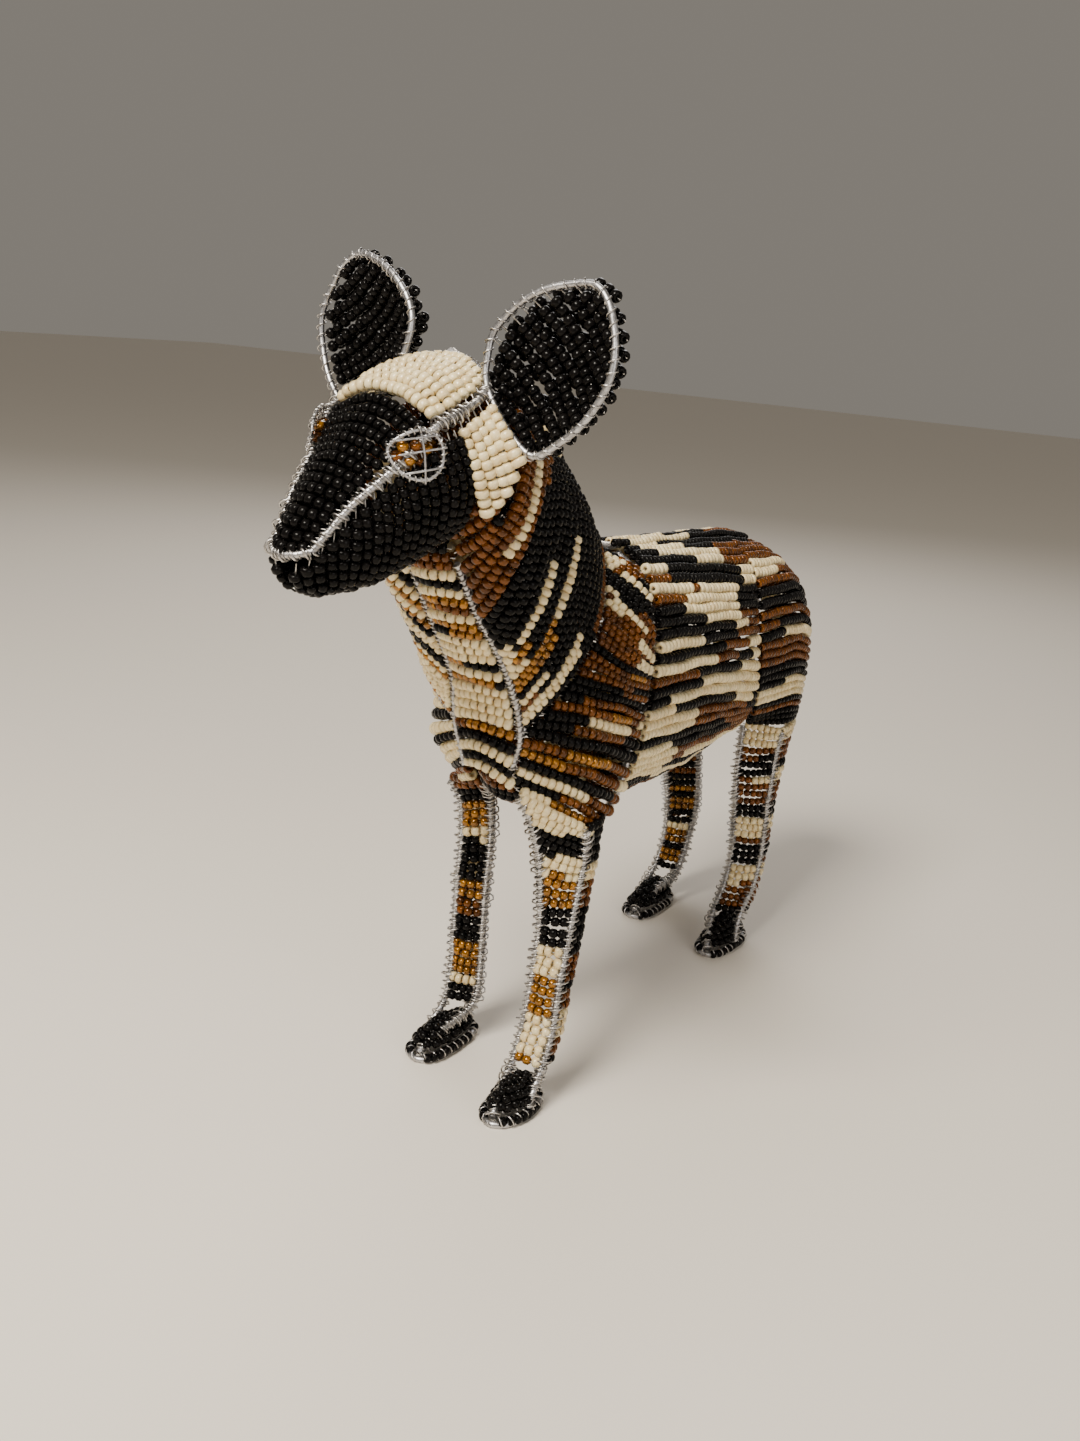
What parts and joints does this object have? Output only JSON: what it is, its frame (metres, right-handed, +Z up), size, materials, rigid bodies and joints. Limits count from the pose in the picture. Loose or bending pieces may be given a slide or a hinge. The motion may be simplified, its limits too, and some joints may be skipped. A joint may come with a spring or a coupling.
{
  "type": "beaded wire animal figure",
  "caption": "Standing painted wild dog figure: galvanised wire armature covered in rows of black, cream and brown glass seed beads.",
  "frame": {"origin": "on the standing plane, under the middle of the body between the four feet", "axes": "+X towards the nose, +Y the dog's left, +Z up"},
  "size_m": [0.3132, 0.1069, 0.2657],
  "materials": {
    "galvanised_wire": "bright galvanised, satin",
    "black_beads": "opaque, glossy",
    "cream_beads": "opaque, glossy",
    "brown_beads": "dark root-beer brown, glossy",
    "amber_beads": "transparent amber with a bright lining, glossy"
  },
  "bodies": {
    "root": {"spine_wire": "galvanised_wire", "chest_seam_wires": "galvanised_wire", "neck_base_hoop": "galvanised_wire", "shoulder_hoop": "galvanised_wire", "hip_hoop": "galvanised_wire", "face_seam_wires": "galvanised_wire", "nose_loop": "galvanised_wire", "crown_back_wire": "galvanised_wire", "ear_rims": "galvanised_wire", "eye_rings": "galvanised_wire", "front_left_leg_wires": "galvanised_wire", "front_right_leg_wires": "galvanised_wire", "rear_left_leg_wires": "galvanised_wire", "rear_right_leg_wires": "galvanised_wire", "foot_loops": "galvanised_wire", "muzzle_top_beads": "black_beads", "lower_face_beads": "black_beads", "crown_beads": "cream_beads", "temple_beads": "cream_beads", "eye_beads": "amber_beads", "ear_front_beads": "black_beads", "ear_back_beads": "black_beads", "neck_beads": "black_beads", "throat_beads": "cream_beads", "shoulder_beads": "brown_beads", "flank_beads": "brown_beads", "rump_beads": "brown_beads", "brisket_beads": "brown_beads", "groin_beads": "brown_beads", "front_left_leg_beads": "amber_beads", "front_right_leg_beads": "amber_beads", "rear_left_leg_beads": "brown_beads", "rear_right_leg_beads": "brown_beads", "foot_beads": "black_beads"}
  },
  "joints": []
}
